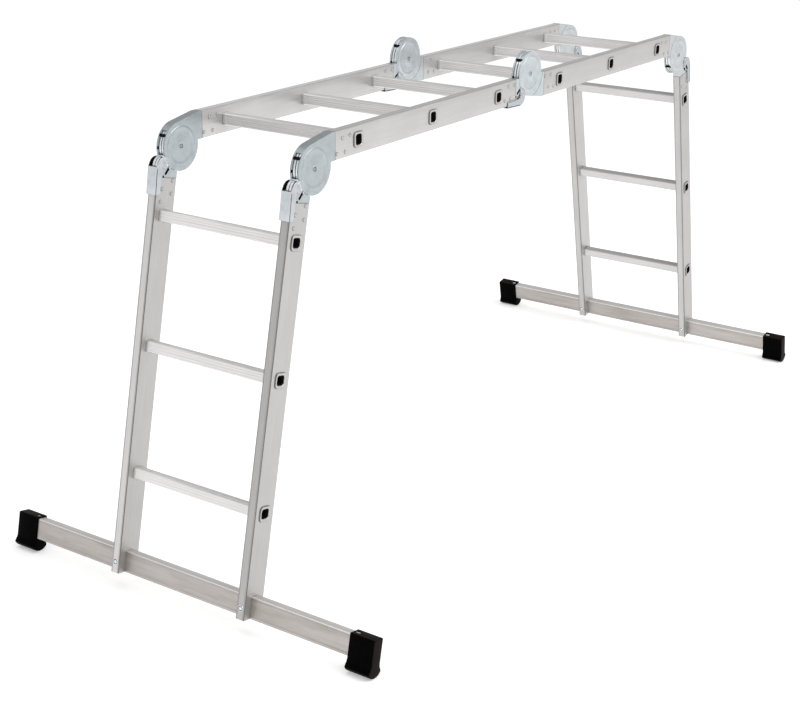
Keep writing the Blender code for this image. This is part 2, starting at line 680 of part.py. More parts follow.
def build():
    clear_scene()
    looks = {
        "aluminium": material("mill_aluminium", (0.76, 0.75, 0.73), 0.38, 0.9),
        "rung": material("ribbed_aluminium", (0.74, 0.73, 0.71), 0.42, 0.9),
        "steel": material("zinc_plated_steel", (0.68, 0.71, 0.72), 0.34, 0.9),
        "pin": material("bright_steel", (0.72, 0.73, 0.73), 0.28, 0.95),
        "rubber": material("black_rubber", (0.015, 0.014, 0.014), 0.62, 0.0),
    }
    looks["meshes"] = {
        "disc": disc_bracket_mesh(),
        "lock": lock_bracket_mesh(),
        "rivet": pivot_rivet_mesh(),
        "pin": lock_pin_mesh(),
        "lever": release_lever_mesh(),
        "rung": rung_mesh(),
        "bar": bar_mesh(),
        "foot": foot_mesh(),
        "bolt": bolt_mesh(),
    }
    deck_stile_length = SECTION_LENGTH - 2 * STILE_END
    first = AXIS_TO_RUNG - STILE_END
    rungs = [first + i * RUNG_PITCH for i in range(RUNGS_PER_SECTION)]
    leg_length = LEG_LENGTH - STILE_END
    deck_stile = stile_mesh(deck_stile_length, rungs)
    near_side, far_side = 1, -1
    near_stile = stile_mesh(leg_length, rungs, leg_notch(near_side, leg_length))
    far_stile = stile_mesh(leg_length, rungs, leg_notch(far_side, leg_length))

    lean = far_lean(near_side, far_side)
    near, middle, far = (-SECTION_LENGTH, 0, 0), (0, 0, 2 * STILE_MIDDLE), (SECTION_LENGTH, 0, 0)
    up, down = (0, 0, 1), (0, 0, -1)
    near_deck = Section("near_deck", near, (1, 0, 0), up)
    near_deck_mid = Section("near_deck_mid", middle, (-1, 0, 0), down, near_deck.empty)
    far_deck_mid = Section("far_deck_mid", middle, (1, 0, 0), down)
    far_deck = Section("far_deck", far, (-1, 0, 0), up, far_deck_mid.empty)
    near_u = (-math.sin(LEG_LEAN), 0, -math.cos(LEG_LEAN))
    near_v = (-math.cos(LEG_LEAN), 0, math.sin(LEG_LEAN))
    far_u, far_v = (math.sin(lean), 0, -math.cos(lean)), (math.cos(lean), 0, math.sin(lean))
    near_leg = Section("near_leg", near, near_u, near_v, near_deck.empty)
    far_leg = Section("far_leg", far, far_u, far_v, far_deck_mid.empty)

    add_section("near_deck", near_deck, deck_stile, STILE_END, looks)
    add_section("far_deck", far_deck, deck_stile, STILE_END, looks)
    add_section("near_leg", near_leg, near_stile, STILE_END, looks)
    add_section("far_leg", far_leg, far_stile, STILE_END, looks)
    add_hinge("near_corner", near_deck, near_leg, looks)
    add_hinge("middle", far_deck_mid, near_deck_mid, looks)
    add_hinge("far_corner", far_deck, far_leg, looks)
    add_stabiliser("near", near_leg, near_side, looks)
    add_stabiliser("far", far_leg, far_side, looks)
    settle((near_deck, far_deck_mid))


build()
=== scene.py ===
"""The looks of a folding aluminium ladder set up as a work platform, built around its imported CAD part.

Pieces are drawn in the plane of their section: u runs along the section from a hinge axis, v runs from the
axis across the stile, and y runs along the rungs. Everything is in metres.
"""

import json
import math

import bmesh
import bpy
from mathutils import Matrix, Vector


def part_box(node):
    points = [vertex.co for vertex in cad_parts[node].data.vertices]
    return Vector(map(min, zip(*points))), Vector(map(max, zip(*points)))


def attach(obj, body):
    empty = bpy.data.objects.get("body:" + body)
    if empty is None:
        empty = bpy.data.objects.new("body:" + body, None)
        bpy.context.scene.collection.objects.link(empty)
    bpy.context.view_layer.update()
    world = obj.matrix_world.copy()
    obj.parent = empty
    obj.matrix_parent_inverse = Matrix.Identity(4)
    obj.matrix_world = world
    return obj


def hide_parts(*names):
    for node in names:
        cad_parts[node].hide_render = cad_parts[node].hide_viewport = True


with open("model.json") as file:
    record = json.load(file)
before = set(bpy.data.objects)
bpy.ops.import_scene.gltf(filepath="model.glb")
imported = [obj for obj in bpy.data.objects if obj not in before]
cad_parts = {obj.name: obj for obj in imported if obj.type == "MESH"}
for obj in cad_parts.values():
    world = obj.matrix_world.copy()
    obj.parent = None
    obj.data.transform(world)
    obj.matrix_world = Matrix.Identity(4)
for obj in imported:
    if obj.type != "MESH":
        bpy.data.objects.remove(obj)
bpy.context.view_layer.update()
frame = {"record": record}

# Sizes of the CAD part. GAP is left between pieces that touch
GAP = 0.0003
RUNG_PITCH = 0.280
AXIS_TO_RUNG = 0.1475
SECTION_LENGTH = 0.855
LEG_LENGTH = 0.933
HALF_WIDTH = 0.187
STILE_DEPTH = 0.059
HALF_T = 0.01075
STILE_END = 0.068
BRACKET_END = STILE_END - GAP
NEAR_EDGE = 0.0046
FAR_EDGE = NEAR_EDGE + STILE_DEPTH
MIDDLE = NEAR_EDGE + STILE_DEPTH / 2
STILE_Y = HALF_WIDTH - HALF_T
RUNG_ALONG = 0.01175
RUNG_ACROSS = 0.0125
DISC = 0.053
CORE = 0.050
CHEEK = 0.0042
CHEEK_IN = HALF_T - CHEEK
CORE_HALF = 0.0059
RUNNING_GAP = 0.00035
PIN_RADIUS = 0.0026
PIN_BEARING = math.radians(33.5)
PIN_ORBIT = DISC + RUNNING_GAP + PIN_RADIUS
PIN_STROKE = 0.0105
LEVER_PIVOT = Vector((0.036, FAR_EDGE - 0.0197))
LEVER_IN = HALF_T + RUNNING_GAP
LEVER_OUT = LEVER_IN + 0.0015
BAR_HALF = 0.4905
BAR_HEIGHT = 0.048
BAR_DEPTH = 0.023
BAR_SETBACK = 0.020
FOOT_LENGTH = 0.061
SOCKET_END = 0.008

# Sizes of the looks alone. THROUGH is half the length of a cut that goes right through. SKIN is how far marks
# stand out, and the slack of the rules that pick looks
WELD = 1e-6
THROUGH = 0.03
SKIN = 0.0001
STILE_CORNER = 0.0018
STILE_WALL = 0.0015
RIVETS = ((0.0735, 0.0165), (0.1015, 0.0165), (0.0920, 0.0465), (0.1185, 0.0480))


# ---------------------------------------------------------------- shapes


# Outlines are lists of 2-D points in u and v, and angles are in radians from u towards v


def polar(radius, angle):
    return Vector((radius * math.cos(angle), radius * math.sin(angle)))


def arc(centre, radius, start, end, degrees=6):
    """Points along an arc, about this many degrees apart."""
    steps = max(2, round(abs(end - start) / math.radians(degrees)))
    return [Vector(centre) + polar(radius, start + (end - start) * i / steps) for i in range(steps + 1)]


def ring(centre, radius, count=24):
    return [Vector(centre) + polar(radius, 2 * math.pi * i / count) for i in range(count)]


def capsule(start, end, radius):
    """A slot's outline, round at both ends."""
    bearing = math.atan2(end.y - start.y, end.x - start.x)
    right, left = bearing - math.pi / 2, bearing + math.pi / 2
    return arc(end, radius, right, left, 20) + arc(start, radius, left, right + 2 * math.pi, 20)


def rounded(half_u, half_v, corner, steps=4):
    """A rectangle about the origin with round corners."""
    points = []
    for sign_u, sign_v, start in ((1, 1, 0), (-1, 1, 90), (-1, -1, 180), (1, -1, 270)):
        centre = Vector((sign_u * (half_u - corner), sign_v * (half_v - corner)))
        points += [centre + polar(corner, math.radians(start + 90 * i / steps)) for i in range(steps + 1)]
    return points


def finish_mesh(bm, name):
    bmesh.ops.remove_doubles(bm, verts=bm.verts, dist=WELD)
    bmesh.ops.recalc_face_normals(bm, faces=bm.faces)
    mesh = bpy.data.meshes.new(name)
    bm.to_mesh(mesh)
    bm.free()
    return mesh


def prism(outline, low, high):
    """The outline in u and v, drawn out along y."""
    bm = bmesh.new()
    rows = [[bm.verts.new((p[0], y, p[1])) for p in outline] for y in (low, high)]
    bm.faces.new(rows[0])
    bm.faces.new(rows[1])
    for i in range(len(outline)):
        j = (i + 1) % len(outline)
        bm.faces.new((rows[0][i], rows[0][j], rows[1][j], rows[1][i]))
    return finish_mesh(bm, "prism")


def both_sides(outline, low, high):
    """Two prisms on opposite sides of the middle plane, from one distance of it to another."""
    return [prism(outline, *sorted((sign * low, sign * high))) for sign in (-1, 1)]


def loft(loops, closed=False, slots=None):
    """Joins loops of points. slots gives each span between two loops its material slot."""
    bm = bmesh.new()
    rows = [[bm.verts.new(p) for p in loop] for loop in loops]
    pairs = list(zip(rows, rows[1:]))
    if closed:
        pairs.append((rows[-1], rows[0]))
    else:
        bm.faces.new(rows[0])
        bm.faces.new(rows[-1])
    for k, (first, second) in enumerate(pairs):
        for i in range(len(first)):
            j = (i + 1) % len(first)
            face = bm.faces.new((first[i], first[j], second[j], second[i]))
            if slots:
                face.material_index = slots[k]
    return finish_mesh(bm, "loft")


def inset(outline, depth):
    """The outline moved inwards by this depth."""
    moved = []
    area = sum(a.x * b.y - b.x * a.y for a, b in zip(outline, outline[1:] + outline[:1]))
    side = 1 if area > 0 else -1
    for i, point in enumerate(outline):
        before = (point - outline[i - 1]).normalized()
        after = (outline[(i + 1) % len(outline)] - point).normalized()
        normal = Vector((-before.y - after.y, before.x + after.x)) * side
        normal.normalize()
        share = max(0.5, normal.dot(Vector((-after.y, after.x)) * side))
        moved.append(point + normal * depth / share)
    return moved


def soft_prism(outline, low, high, edge, steps=3):
    """A prism whose end edges are rounded."""
    rows = []
    for i in range(steps + 1):
        angle = math.pi / 2 * i / steps
        rows.append((low + edge * (1 - math.sin(angle)), inset(outline, edge * (1 - math.cos(angle)))))
    rows.reverse()
    rows += [(low + high - y, shape) for y, shape in reversed(rows)]
    return loft([[(p.x, y, p.y) for p in shape] for y, shape in rows])


def round_corners(outline, radius, steps=4):
    """The outline with its corners of more than 20 degrees rounded."""
    points = []
    for i, point in enumerate(outline):
        before, after = outline[i - 1] - point, outline[(i + 1) % len(outline)] - point
        bend = before.angle(-after)
        if bend < math.radians(20):
            points.append(point)
            continue
        reach = min(radius, before.length * 0.45, after.length * 0.45)
        first, last = point + before.normalized() * reach, point + after.normalized() * reach
        for k in range(steps + 1):
            t = k / steps
            points.append(first * (1 - t) ** 2 + point * 2 * t * (1 - t) + last * t * t)
    return points


def paint(mesh, rule):
    """Gives each face the slot that the rule picks from its normal and centre."""
    for face in mesh.polygons:
        slot = rule(face.normal, face.center)
        if slot is not None:
            face.material_index = slot
    return mesh


def lathe(profile, count, centre=(0, 0)):
    """A turned shape about an axis along y, from (y, radius) pairs."""
    return loft([[(p.x + centre[0], y, p.y + centre[1]) for p in ring((0, 0), r, count)] for y, r in profile])


def lathe_pair(profile, count, centre=(0, 0)):
    """The same turned shape on both sides of the middle plane."""
    return [lathe([(sign * y, r) for y, r in profile], count, centre) for sign in (-1, 1)]


def spindle(half, count):
    """A turned shape through the middle plane, from the (y, radius) pairs of one half."""
    return lathe([(-y, r) for y, r in reversed(half)] + half, count)


def cut(mesh, cuts):
    """The mesh with the cuts taken out of it."""
    blank = bpy.data.objects.new("cut", mesh)
    bpy.context.scene.collection.objects.link(blank)
    helpers = [blank]
    for other in cuts:
        helper = bpy.data.objects.new("cut", other)
        bpy.context.scene.collection.objects.link(helper)
        helpers.append(helper)
        modifier = blank.modifiers.new("cut", "BOOLEAN")
        modifier.operation = "DIFFERENCE"
        modifier.solver = "EXACT"
        modifier.object = helper
    bpy.context.view_layer.update()
    graph = bpy.context.evaluated_depsgraph_get()
    made = bpy.data.meshes.new_from_object(blank.evaluated_get(graph))
    for helper in helpers:
        bpy.data.objects.remove(helper, do_unlink=True)
    return made


def moved_copy(mesh, matrix):
    moved = mesh.copy()
    moved.transform(matrix)
    return moved


def merged(meshes, name):
    bm = bmesh.new()
    for mesh in meshes:
        bm.from_mesh(mesh)
    made = bpy.data.meshes.new(name)
    bm.to_mesh(made)
    bm.free()
    return made


# ---------------------------------------------------------------- materials


def nodes_of(name):
    made = bpy.data.materials.new(name)
    made.use_nodes = True
    tree = made.node_tree
    return made, tree, tree.nodes["Principled BSDF"]


def new(tree, kind, **values):
    node = tree.nodes.new(kind)
    for key, value in values.items():
        setattr(node, key, value)
    return node


def noise(tree, scale, detail=4.0, stretch=(1, 1, 1), roughness=0.55):
    where = new(tree, "ShaderNodeTexCoord")
    mapping = new(tree, "ShaderNodeMapping")
    mapping.inputs["Scale"].default_value = stretch
    tree.links.new(where.outputs["Object"], mapping.inputs["Vector"])
    made = new(tree, "ShaderNodeTexNoise")
    made.inputs["Scale"].default_value = scale
    made.inputs["Detail"].default_value = detail
    made.inputs["Roughness"].default_value = roughness
    tree.links.new(mapping.outputs["Vector"], made.inputs["Vector"])
    return made.outputs["Fac"]


def ramp(tree, value, stops):
    made = new(tree, "ShaderNodeValToRGB")
    for element, (at, colour) in zip(made.color_ramp.elements, stops):
        element.position = at
        element.color = (*colour, 1)
    for at, colour in stops[2:]:
        element = made.color_ramp.elements.new(at)
        element.color = (*colour, 1)
    tree.links.new(value, made.inputs["Fac"])
    return made.outputs["Color"]


def span(tree, value, low, high):
    """The middle of a noise's range, stretched over these values."""
    made = new(tree, "ShaderNodeMapRange")
    made.inputs["To Min"].default_value = low
    made.inputs["To Max"].default_value = high
    made.inputs["From Min"].default_value = 0.3
    made.inputs["From Max"].default_value = 0.7
    tree.links.new(value, made.inputs["Value"])
    return made.outputs["Result"]


def multiply(tree, first, second, share):
    made = new(tree, "ShaderNodeMix", data_type="RGBA", blend_type="MULTIPLY")
    made.inputs["Factor"].default_value = share
    tree.links.new(first, made.inputs[6])
    tree.links.new(second, made.inputs[7])
    return made.outputs[2]


def bump(tree, shader, height, strength, distance):
    made = new(tree, "ShaderNodeBump")
    made.inputs["Strength"].default_value = strength
    made.inputs["Distance"].default_value = distance
    tree.links.new(height, made.inputs["Height"])
    tree.links.new(made.outputs["Normal"], shader.inputs["Normal"])


def aluminium(name, tone, along, metallic=0.85, rough=(0.32, 0.46)):
    """Extruded mill-finish aluminium: fine drawing lines along one axis, and soft clouding."""
    made, tree, shader = nodes_of(name)
    stretch = {"x": (2.5, 190, 190), "y": (190, 2.5, 190)}[along]
    lines = noise(tree, 3.0, 5.0, stretch, 0.6)
    clouds = noise(tree, 9.0, 3.0)
    lighter = tuple(min(1, c * 1.05) for c in tone)
    darker = tuple(c * 0.90 for c in tone)
    base = ramp(tree, lines, ((0.32, darker), (0.68, lighter)))
    tint = ramp(tree, clouds, ((0.3, (0.94, 0.935, 0.93)), (0.7, (1, 1, 1))))
    tree.links.new(multiply(tree, base, tint, 1.0), shader.inputs["Base Color"])
    tree.links.new(span(tree, lines, *rough), shader.inputs["Roughness"])
    shader.inputs["Metallic"].default_value = metallic
    bump(tree, shader, lines, 0.10, 0.0002)
    return made


def worn_aluminium(name, tone):
    """Extruded aluminium along y with soft streaks of brownish handling stain."""
    made = aluminium(name, tone, "y", rough=(0.34, 0.5))
    tree = made.node_tree
    shader = tree.nodes["Principled BSDF"]
    clean = shader.inputs["Base Color"].links[0].from_socket
    stain = noise(tree, 7.0, 6.0, (9, 1.0, 9), 0.7)
    tint = ramp(tree, stain, ((0.42, (1, 1, 1)), (0.66, (0.83, 0.80, 0.775))))
    tree.links.new(multiply(tree, clean, tint, 1.0), shader.inputs["Base Color"])
    return made


def zinc(name, tone, metallic=0.9, rough=(0.28, 0.42)):
    """Bluish zinc plating with spangled clouds and faint rub marks."""
    made, tree, shader = nodes_of(name)
    clouds = noise(tree, 55.0, 6.0, (1, 1, 1), 0.65)
    marks = noise(tree, 18.0, 5.0, (1, 6, 14), 0.6)
    base = ramp(
        tree,
        clouds,
        (
            (0.30, tuple(c * 0.86 for c in tone)),
            (0.72, tuple(min(1, c * 1.06) for c in tone)),
            (0.5, (tone[0] * 0.97, tone[1], tone[2] * 1.03)),
        ),
    )
    tint = ramp(tree, marks, ((0.35, (0.93, 0.94, 0.945)), (0.6, (1, 1, 1))))
    tree.links.new(multiply(tree, base, tint, 0.8), shader.inputs["Base Color"])
    tree.links.new(span(tree, marks, *rough), shader.inputs["Roughness"])
    shader.inputs["Metallic"].default_value = metallic
    bump(tree, shader, clouds, 0.08, 0.0003)
    return made


def rubber(name, low, high):
    """Grained rubber with scuffs in its colour and gloss."""
    made, tree, shader = nodes_of(name)
    grain = noise(tree, 900.0, 3.0)
    scuffs = noise(tree, 60.0, 6.0, (1, 1, 2), 0.7)
    base = ramp(tree, scuffs, ((0.45, low), (0.85, high)))
    tree.links.new(base, shader.inputs["Base Color"])
    tree.links.new(span(tree, scuffs, 0.36, 0.55), shader.inputs["Roughness"])
    shader.inputs["Specular IOR Level"].default_value = 0.02
    bump(tree, shader, grain, 0.25, 0.0002)
    return made


def dark(name, tone=(0.004, 0.0035, 0.0035)):
    """Painted shade for the insides of hollows, slots and gaps, mottled a little."""
    made, tree, shader = nodes_of(name)
    mottle = noise(tree, 120.0, 5.0)
    base = ramp(tree, mottle, ((0.3, tone), (0.7, tuple(c * 2.2 for c in tone))))
    tree.links.new(base, shader.inputs["Base Color"])
    tree.links.new(span(tree, mottle, 0.7, 0.9), shader.inputs["Roughness"])
    shader.inputs["Specular IOR Level"].default_value = 0.05
    return made


LOOK = {
    "stile": aluminium("mill_aluminium", (0.53, 0.52, 0.51), "x"),
    # A lighter copy of the stile aluminium, painted light on the left deck stiles' wide faces
    "painted_lit_stile": aluminium("mill_aluminium_painted_lit", (0.56, 0.55, 0.545), "x"),
    # A darker copy of the stile aluminium, painted shade on the legs' stiles
    "leg": aluminium("mill_aluminium_painted_shade", (0.47, 0.46, 0.45), "x"),
    # Lighter copies of the stile aluminium for narrow faces, painted for the light that falls on them
    "strip": aluminium("mill_aluminium_painted_lit_narrow_face", (0.66, 0.65, 0.64), "x"),
    "painted_lit_strip": aluminium("mill_aluminium_painted_bright_narrow_face", (0.88, 0.865, 0.86), "x"),
    # A dark copy of the aluminium, painted shade on the stiles' rounded corners and the rung rims' edges
    "edge": aluminium("mill_aluminium_painted_shade_corner", (0.20, 0.195, 0.19), "x"),
    "rung": aluminium("ribbed_aluminium", (0.80, 0.785, 0.77), "y"),
    # Darker copies of the rung aluminium, painted shade on rung faces turned from the light
    "painted_deep_shade_rung": aluminium("ribbed_aluminium_painted_deep_shade", (0.50, 0.49, 0.48), "y"),
    "painted_shade_rung": aluminium("ribbed_aluminium_painted_shade", (0.64, 0.63, 0.62), "y"),
    "bar": worn_aluminium("bar_aluminium", (0.50, 0.475, 0.455)),
    # Painted light on the bar's top face and a painted highlight along its top edges
    "bar_painted_lit_top": aluminium("bar_aluminium_painted_lit_top", (0.74, 0.72, 0.70), "y", rough=(0.36, 0.5)),
    "bar_painted_highlight": aluminium("bar_aluminium_painted_highlight", (0.86, 0.84, 0.82), "y", rough=(0.24, 0.34)),
    # A lighter copy of the zinc plating, painted light for the middle hinge
    "painted_lit_mid_zinc": zinc("zinc_plated_steel_painted_lit", (0.53, 0.555, 0.56)),
    "rim": aluminium("rolled_rim_aluminium", (0.50, 0.47, 0.47), "y", rough=(0.30, 0.42)),
    "zinc": zinc("zinc_plated_steel", (0.395, 0.42, 0.425)),
    # A lighter copy of the zinc plating, painted light for the far hinge
    "painted_lit_far_zinc": zinc("zinc_plated_steel_painted_lit_far", (0.54, 0.555, 0.555)),
    "lever": zinc("lever_zinc", (0.46, 0.475, 0.48), rough=(0.24, 0.36)),
    # A lighter copy of the lever's zinc, painted light on the lever's web
    "web": zinc("lever_zinc_painted_lit_web", (0.70, 0.72, 0.74), rough=(0.3, 0.4)),
    # A lighter copy of the zinc, painted light on core plates, bolts and the tops of the lock heels
    "bright": zinc("zinc_painted_lit", (0.84, 0.86, 0.87), rough=(0.2, 0.32)),
    "pin": zinc("bright_steel", (0.50, 0.52, 0.53), rough=(0.22, 0.34)),
    "rivet": zinc("rivet_aluminium", (0.46, 0.455, 0.45), rough=(0.3, 0.42)),
    "rubber": rubber("black_rubber", (0.0004, 0.0003, 0.0003), (0.0025, 0.002, 0.002)),
    # A lighter copy of the rubber, painted light on the feet's top and end faces
    "rubber_painted_lit": rubber("black_rubber_painted_lit", (0.0085, 0.0062, 0.0060), (0.022, 0.017, 0.016)),
    "clip": zinc("clip_steel", (0.8, 0.8, 0.8), metallic=0.4),
    # Painted shade, near black, in hollows, slots and openings
    "dark": dark("painted_shade"),
    "groove": dark("groove_shadow", (0.10, 0.097, 0.095)),
}


# ---------------------------------------------------------------- placing


class Section:
    """A section of the ladder: where pieces drawn in u, y and v go, and the body that they ride on."""

    def __init__(self, origin, u, v, body):
        self.origin = Vector(origin)
        self.u = Vector(u).normalized()
        self.v = Vector(v).normalized()
        self.across = self.v.cross(self.u)
        self.turn = Matrix((self.u, self.across, self.v)).transposed().to_4x4()
        self.body = body

    def add(self, name, mesh, looks, y=0.0, at=(0, 0), body=None, flip=False, node=None, bevel=0.0, sharp=30):
        """Places a piece at (u, v) of this section and at y of the ladder, and lets it ride."""
        piece = bpy.data.objects.new(name, mesh.copy())
        bpy.context.scene.collection.objects.link(piece)
        slots = [face.material_index for face in mesh.polygons]
        piece.data.materials.clear()
        for look in looks:
            piece.data.materials.append(LOOK[look])
        piece.data.polygons.foreach_set("material_index", [min(slot, len(looks) - 1) for slot in slots])
        where = self.origin + self.u * at[0] + self.v * at[1]
        where.y = y
        matrix = Matrix.Translation(where) @ self.turn
        if flip:
            matrix = matrix @ Matrix.Rotation(math.pi, 4, "X")
        piece.matrix_world = matrix
        piece.data.shade_smooth()
        piece.data.set_sharp_from_angle(angle=math.radians(sharp))
        if bevel:
            edge = piece.modifiers.new("edges", "BEVEL")
            edge.width = bevel
            edge.segments = 2
            edge.limit_method = "ANGLE"
            edge.angle_limit = math.radians(40)
        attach(piece, body or self.body)
        if node:
            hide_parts(node)


def axis_of(hinge):
    """The point of a hinge's axis in the ladder's middle plane."""
    low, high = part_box(f"{hinge}_pivot_rivet_left")
    middle = (Vector(low) + Vector(high)) / 2
    middle.y = 0
    return middle


JOINTS = {joint["name"]: joint for joint in frame["record"]["behaviour"]["joints"]}
NEAR_LEAN = math.radians(90 - JOINTS["near_leg_hinge"]["range_deg"][1])
FAR_LEAN = math.radians(90 + JOINTS["far_leg_hinge"]["range_deg"][0])
near, mid, far = axis_of("near_corner"), axis_of("middle"), axis_of("far_corner")
UP, DOWN = (0, 0, 1), (0, 0, -1)
near_deck = Section(near, (1, 0, 0), UP, "near_deck")
near_deck_mid = Section(mid, (-1, 0, 0), DOWN, "near_deck")
far_deck_mid = Section(mid, (1, 0, 0), DOWN, "far_deck")
far_deck = Section(far, (-1, 0, 0), UP, "far_deck")
near_leg = Section(
    near,
    (-math.sin(NEAR_LEAN), 0, -math.cos(NEAR_LEAN)),
    (-math.cos(NEAR_LEAN), 0, math.sin(NEAR_LEAN)),
    "near_leg",
)
far_leg = Section(
    far,
    (math.sin(FAR_LEAN), 0, -math.cos(FAR_LEAN)),
    (math.cos(FAR_LEAN), 0, math.sin(FAR_LEAN)),
    "far_leg",
)
SIDES = (("left", STILE_Y), ("right", -STILE_Y))


# ---------------------------------------------------------------- stiles and rungs


def stile_profile(depth=0.0):
    """The stile's outline across y and v, this deep under its surface."""
    return rounded(HALF_T - depth, STILE_DEPTH / 2 - depth, STILE_CORNER)


def edge_grooves(length):
    """The cuts for the fine grooves beside the four corners of a stile, in its narrow faces."""
    from_face, half_width, depth, over = 0.0032, 0.0006, 0.0005, 0.002
    cuts = []
    for sign in (-1, 1):
        v = sign * STILE_DEPTH / 2
        for side in (-1, 1):
            y = side * (HALF_T - from_face)
            outline = [(y - half_width, v + sign * over), (y + half_width, v + sign * over)]
            outline += [(y + half_width, v - sign * depth), (y - half_width, v - sign * depth)]
            cuts.append(loft([[(u, a, b) for a, b in outline] for u in (-0.01, length + 0.01)]))
    return cuts


def stile_look(normal, centre):
    """Slot 2 for the narrow faces, 1 for the corners between faces, and 0 for the rest."""
    if abs(normal.x) > 0.3 or abs(centre.y) < HALF_T - STILE_CORNER - SKIN:
        return 2 if abs(normal.z) > 0.9 and abs(centre.z) > STILE_DEPTH / 2 - SKIN else 0
    return 1 if abs(normal.y) > 0.15 and abs(normal.z) > 0.15 else 0


def stile_mesh(length, notch=None):
    """A hollow stile with the openings for its rungs, and a notch for the bar if it is a leg's."""
    outer, inner = stile_profile(), stile_profile(STILE_WALL)
    ends = ((0, outer), (length, outer), (length, inner), (0, inner))
    cuts = []
    for i in range(3):
        u = AXIS_TO_RUNG - STILE_END + i * RUNG_PITCH
        hole = [p + Vector((u, 0)) for p in rounded(RUNG_ALONG + GAP, RUNG_ACROSS + GAP, 0.0043, 3)]
        cuts.append(prism(hole, -0.02, 0.02))
    cuts += edge_grooves(length)
    if notch:
        cuts.append(prism(notch, -THROUGH, THROUGH))
    tube = loft([[(u, p.x, p.y) for p in shape] for u, shape in ends], closed=True)
    return paint(cut(tube, cuts), stile_look)


def leg_notch(strip_side, length):
    """The outline of the notch that the bar sits in, which leaves a strip of the stile in front of it."""
    front = strip_side * (STILE_DEPTH / 2 - BAR_SETBACK + GAP)
    back = front - strip_side * (BAR_DEPTH + 2 * GAP)
    top = length - BAR_HEIGHT - GAP
    heel = top + 0.011
    past_end, beyond = length + 0.05, -strip_side * 0.1
    return [(top, front), (past_end, front), (past_end, beyond), (heel, beyond), (heel, back), (top, back)]


def ribbed(half_u, half_v, depth, rim=False):
    """A rung's outline in u and v: round corners, and grooves of this depth between the ribs of its faces."""
    corner = min(half_u, half_v) * 0.52 if rim else 0.0035
    points = []
    for turn in range(4):
        along = turn % 2
        wide, tall = (half_v, half_u) if along else (half_u, half_v)
        centre = Vector((wide - corner, tall - corner))
        side = [centre + polar(corner, math.radians(90 * i / 4)) for i in range(5)]
        flat = wide - corner
        grooves = 4 if along else 3
        deep = depth * (1.0 if along else 0.7)
        for g in range(grooves):
            at = flat - (g + 0.5) * 2 * flat / grooves
            for aside, down in ((0.0010, 0), (0.0005, deep), (-0.0005, deep), (-0.0010, 0)):
                side.append(Vector((at + aside, tall - down)))
        angle = math.pi / 2 * turn
        c, s = round(math.cos(angle)), round(math.sin(angle))
        points += [Vector((p.x * c - p.y * s, p.x * s + p.y * c)) for p in side]
    return points


def rung_mesh():
    """A hollow ribbed rung with a bead inside each stile and a rolled rim outside it."""
    a, b = RUNG_ALONG, RUNG_ACROSS
    face = HALF_WIDTH
    inside = face - 2 * HALF_T
    # Half sizes in u and v, depth of the grooves and y, from the ribbed middle out to the rim and back inside
    half = [
        (a, b, 0.0005, inside - 0.0095),
        (a + 0.0007, b + 0.0007, 0.0001, inside - 0.0080),
        (a + 0.0007, b + 0.0007, 0.0001, inside - 0.0006),
        (a, b, 0.0, inside),
        (a, b, 0.0, face + 0.0002),
        (a + 0.0045, b + 0.0038, 0.0, face + 0.0002),
        (a + 0.0051, b + 0.0043, 0.0, face + 0.0006),
        (a + 0.0049, b + 0.0041, 0.0, face + 0.0016),
        (a + 0.0040, b + 0.0033, 0.0, face + 0.0024),
        (a + 0.0022, b + 0.0018, 0.0, face + 0.0027),
        (a + 0.0002, b + 0.0002, 0.0, face + 0.0024),
        (a - 0.0014, b - 0.0012, 0.0, face + 0.0014),
        (a - 0.0030, b - 0.0026, 0.0, face - 0.0010),
    ]
    loops = [[(p.x, y, p.y) for p in ribbed(u, v, depth, y > face - 0.002)] for u, v, depth, y in half]
    loops = [[(x, -y, z) for x, y, z in loop] for loop in reversed(loops)] + loops
    first, last = [1, 4, 4, 4, 5, 5, 5], [5, 5, 5, 4, 4, 4, 1, 1]
    slots = first + [0] * (len(loops) - len(first) - len(last)) + last

    # The two pairs of faces take separate looks, painted lighter or darker for how the light falls on them
    def look(normal, centre):
        grooved = max(abs(centre.x) - a, abs(centre.z) - b) < -0.0012
        if abs(centre.y) > inside - SKIN or abs(normal.y) > 0.5 or grooved:
            return None
        return 2 if abs(normal.x) > 0.7 else 3 if abs(normal.z) > 0.7 else 0

    return paint(loft(loops, closed=True, slots=slots), look)


RUNG = rung_mesh()


def add_section(name, section, stile, looks, rung_looks):
    for side, y in SIDES:
        node = f"{name}_stile_{side}"
        section.add(f"{node}_look", stile, looks[side], y, (STILE_END, MIDDLE), node=node, sharp=25)
    for i in range(3):
        node = f"{name}_rung_{i + 1}"
        where = (AXIS_TO_RUNG + i * RUNG_PITCH, MIDDLE)
        section.add(f"{node}_look", RUNG, rung_looks, 0, where, node=node, sharp=35)


# The looks of the slots: of a stile its wide faces, corners and narrow faces, and of a rung its corners and
# beads, its hollow, its two pairs of faces, its rim and the rim's edge. Many are copies of one aluminium
# painted lighter or darker for the light on each face, and corners, rim edges and hollows are painted shade
DECK_LOOKS = {"left": ["painted_lit_stile", "stile", "painted_lit_strip"], "right": ["stile", "stile", "strip"]}
LEG_LOOKS = {"left": ["leg", "edge", "strip"], "right": ["leg", "edge", "leg"]}
FAR_LEG_LOOKS = {"left": ["stile", "edge", "stile"], "right": ["leg", "edge", "stile"]}
DECK_RUNG = ["rung", "dark", "painted_shade_rung", "rung", "rim", "edge"]
NEAR_RUNG = ["rung", "dark", "rung", "rung", "rim", "edge"]
FAR_RUNG = ["painted_shade_rung", "dark", "painted_deep_shade_rung", "painted_shade_rung", "rim", "edge"]
deck_stile = stile_mesh(SECTION_LENGTH - 2 * STILE_END)
leg_stile_length = LEG_LENGTH - STILE_END
near_leg_stile = stile_mesh(leg_stile_length, leg_notch(1, leg_stile_length))
